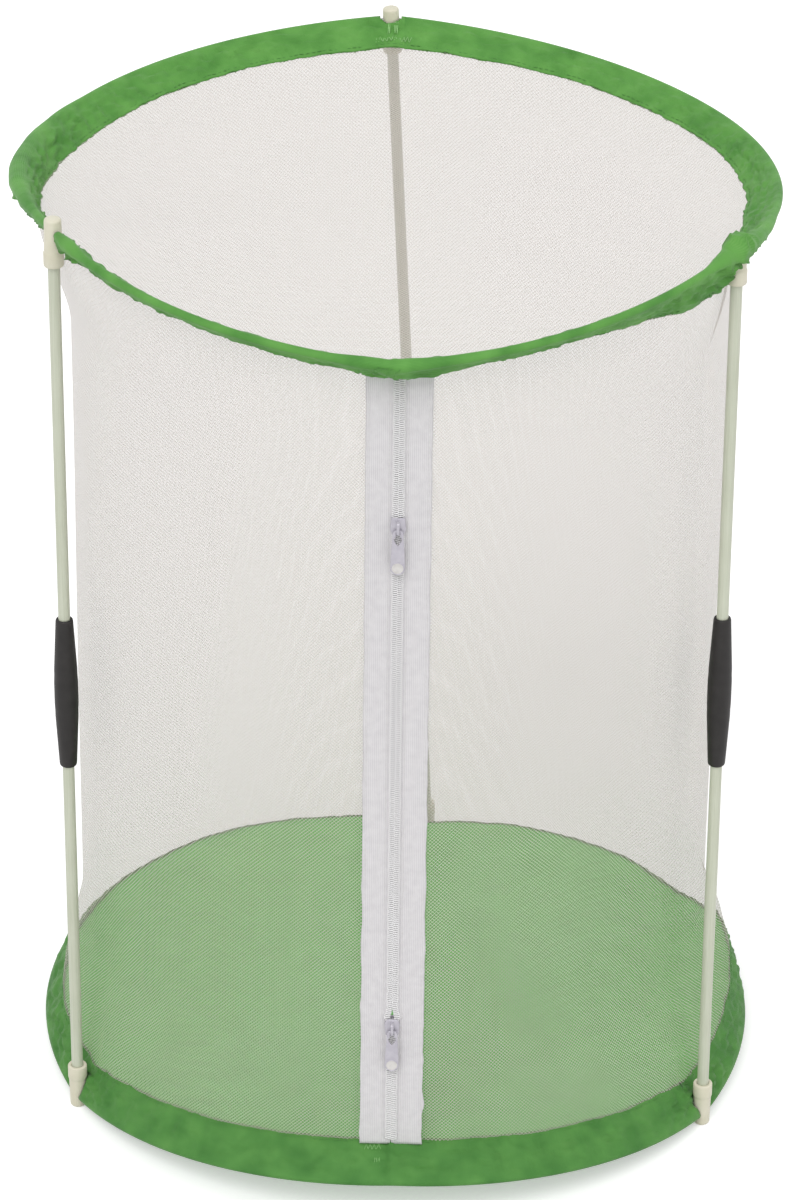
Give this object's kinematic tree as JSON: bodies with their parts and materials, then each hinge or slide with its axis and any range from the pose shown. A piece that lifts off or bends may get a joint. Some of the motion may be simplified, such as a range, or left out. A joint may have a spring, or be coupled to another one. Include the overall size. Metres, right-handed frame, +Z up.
{
  "type": "insect habitat cage",
  "caption": "Cylindrical net cage on fabric-covered hoops held apart by jointed rods, with a full-height two-way zipper, net roof and fabric floor.",
  "frame": {"origin": "middle of the object on the surface that it stands on", "axes": "+Z up, +X to the right seen from the zipper side, the zipper faces -Y"},
  "size_m": [0.3507, 0.3517, 0.4717],
  "materials": {
    "spring_wire": "brushed",
    "crimp_sleeve": "satin",
    "green_cloth": "woven, slight sheen",
    "white_net": "fine open net",
    "zipper_tape": "woven tape",
    "zipper_coil": "nylon",
    "slider_metal": "painted, satin",
    "fibreglass": "satin",
    "black_plastic": "matte",
    "ivory_plastic": "satin"
  },
  "bodies": {
    "cage": {"bottom_hoop_wire": "spring_wire", "top_hoop_wire": "spring_wire", "bottom_wire_sleeve": "crimp_sleeve", "top_wire_sleeve": "crimp_sleeve", "bottom_binding": "green_cloth", "top_binding": "green_cloth", "floor_panel": "green_cloth", "wall_mesh": "white_net", "top_mesh": "white_net", "zipper_tape_left": "zipper_tape", "zipper_tape_right": "zipper_tape", "zipper_coil_left": "zipper_coil", "zipper_coil_right": "zipper_coil", "left_bottom_socket": "ivory_plastic", "left_rod_lower": "fibreglass", "left_rod_coupler": "black_plastic", "left_rod_upper": "fibreglass", "left_top_socket": "ivory_plastic", "right_bottom_socket": "ivory_plastic", "right_rod_lower": "fibreglass", "right_rod_coupler": "black_plastic", "right_rod_upper": "fibreglass", "right_top_socket": "ivory_plastic", "back_bottom_socket": "ivory_plastic", "back_rod_lower": "fibreglass", "back_rod_coupler": "black_plastic", "back_rod_upper": "fibreglass", "back_top_socket": "ivory_plastic"},
    "upper_slider": {"upper_slider_body": "slider_metal"},
    "upper_pull": {"upper_slider_pull": "slider_metal"},
    "lower_slider": {"lower_slider_body": "slider_metal"},
    "lower_pull": {"lower_slider_pull": "slider_metal"}
  },
  "joints": [
    {"name": "upper_slider_slide", "type": "slide", "parent": "cage", "child": "upper_slider", "axis": [0, 0, 1], "range_m": [-0.1, 0.055]},
    {"name": "upper_pull_swing", "type": "hinge", "parent": "upper_slider", "child": "upper_pull", "pos_m": [0, -0.1628, 0.3627], "axis": [-1, 0, 0], "range_deg": [0, 165]},
    {"name": "lower_slider_slide", "type": "slide", "parent": "cage", "child": "lower_slider", "axis": [0, 0, 1], "range_m": [-0.038, 0.1]},
    {"name": "lower_pull_swing", "type": "hinge", "parent": "lower_slider", "child": "lower_pull", "pos_m": [0, -0.1628, 0.1007], "axis": [-1, 0, 0], "range_deg": [0, 165]}
  ]
}
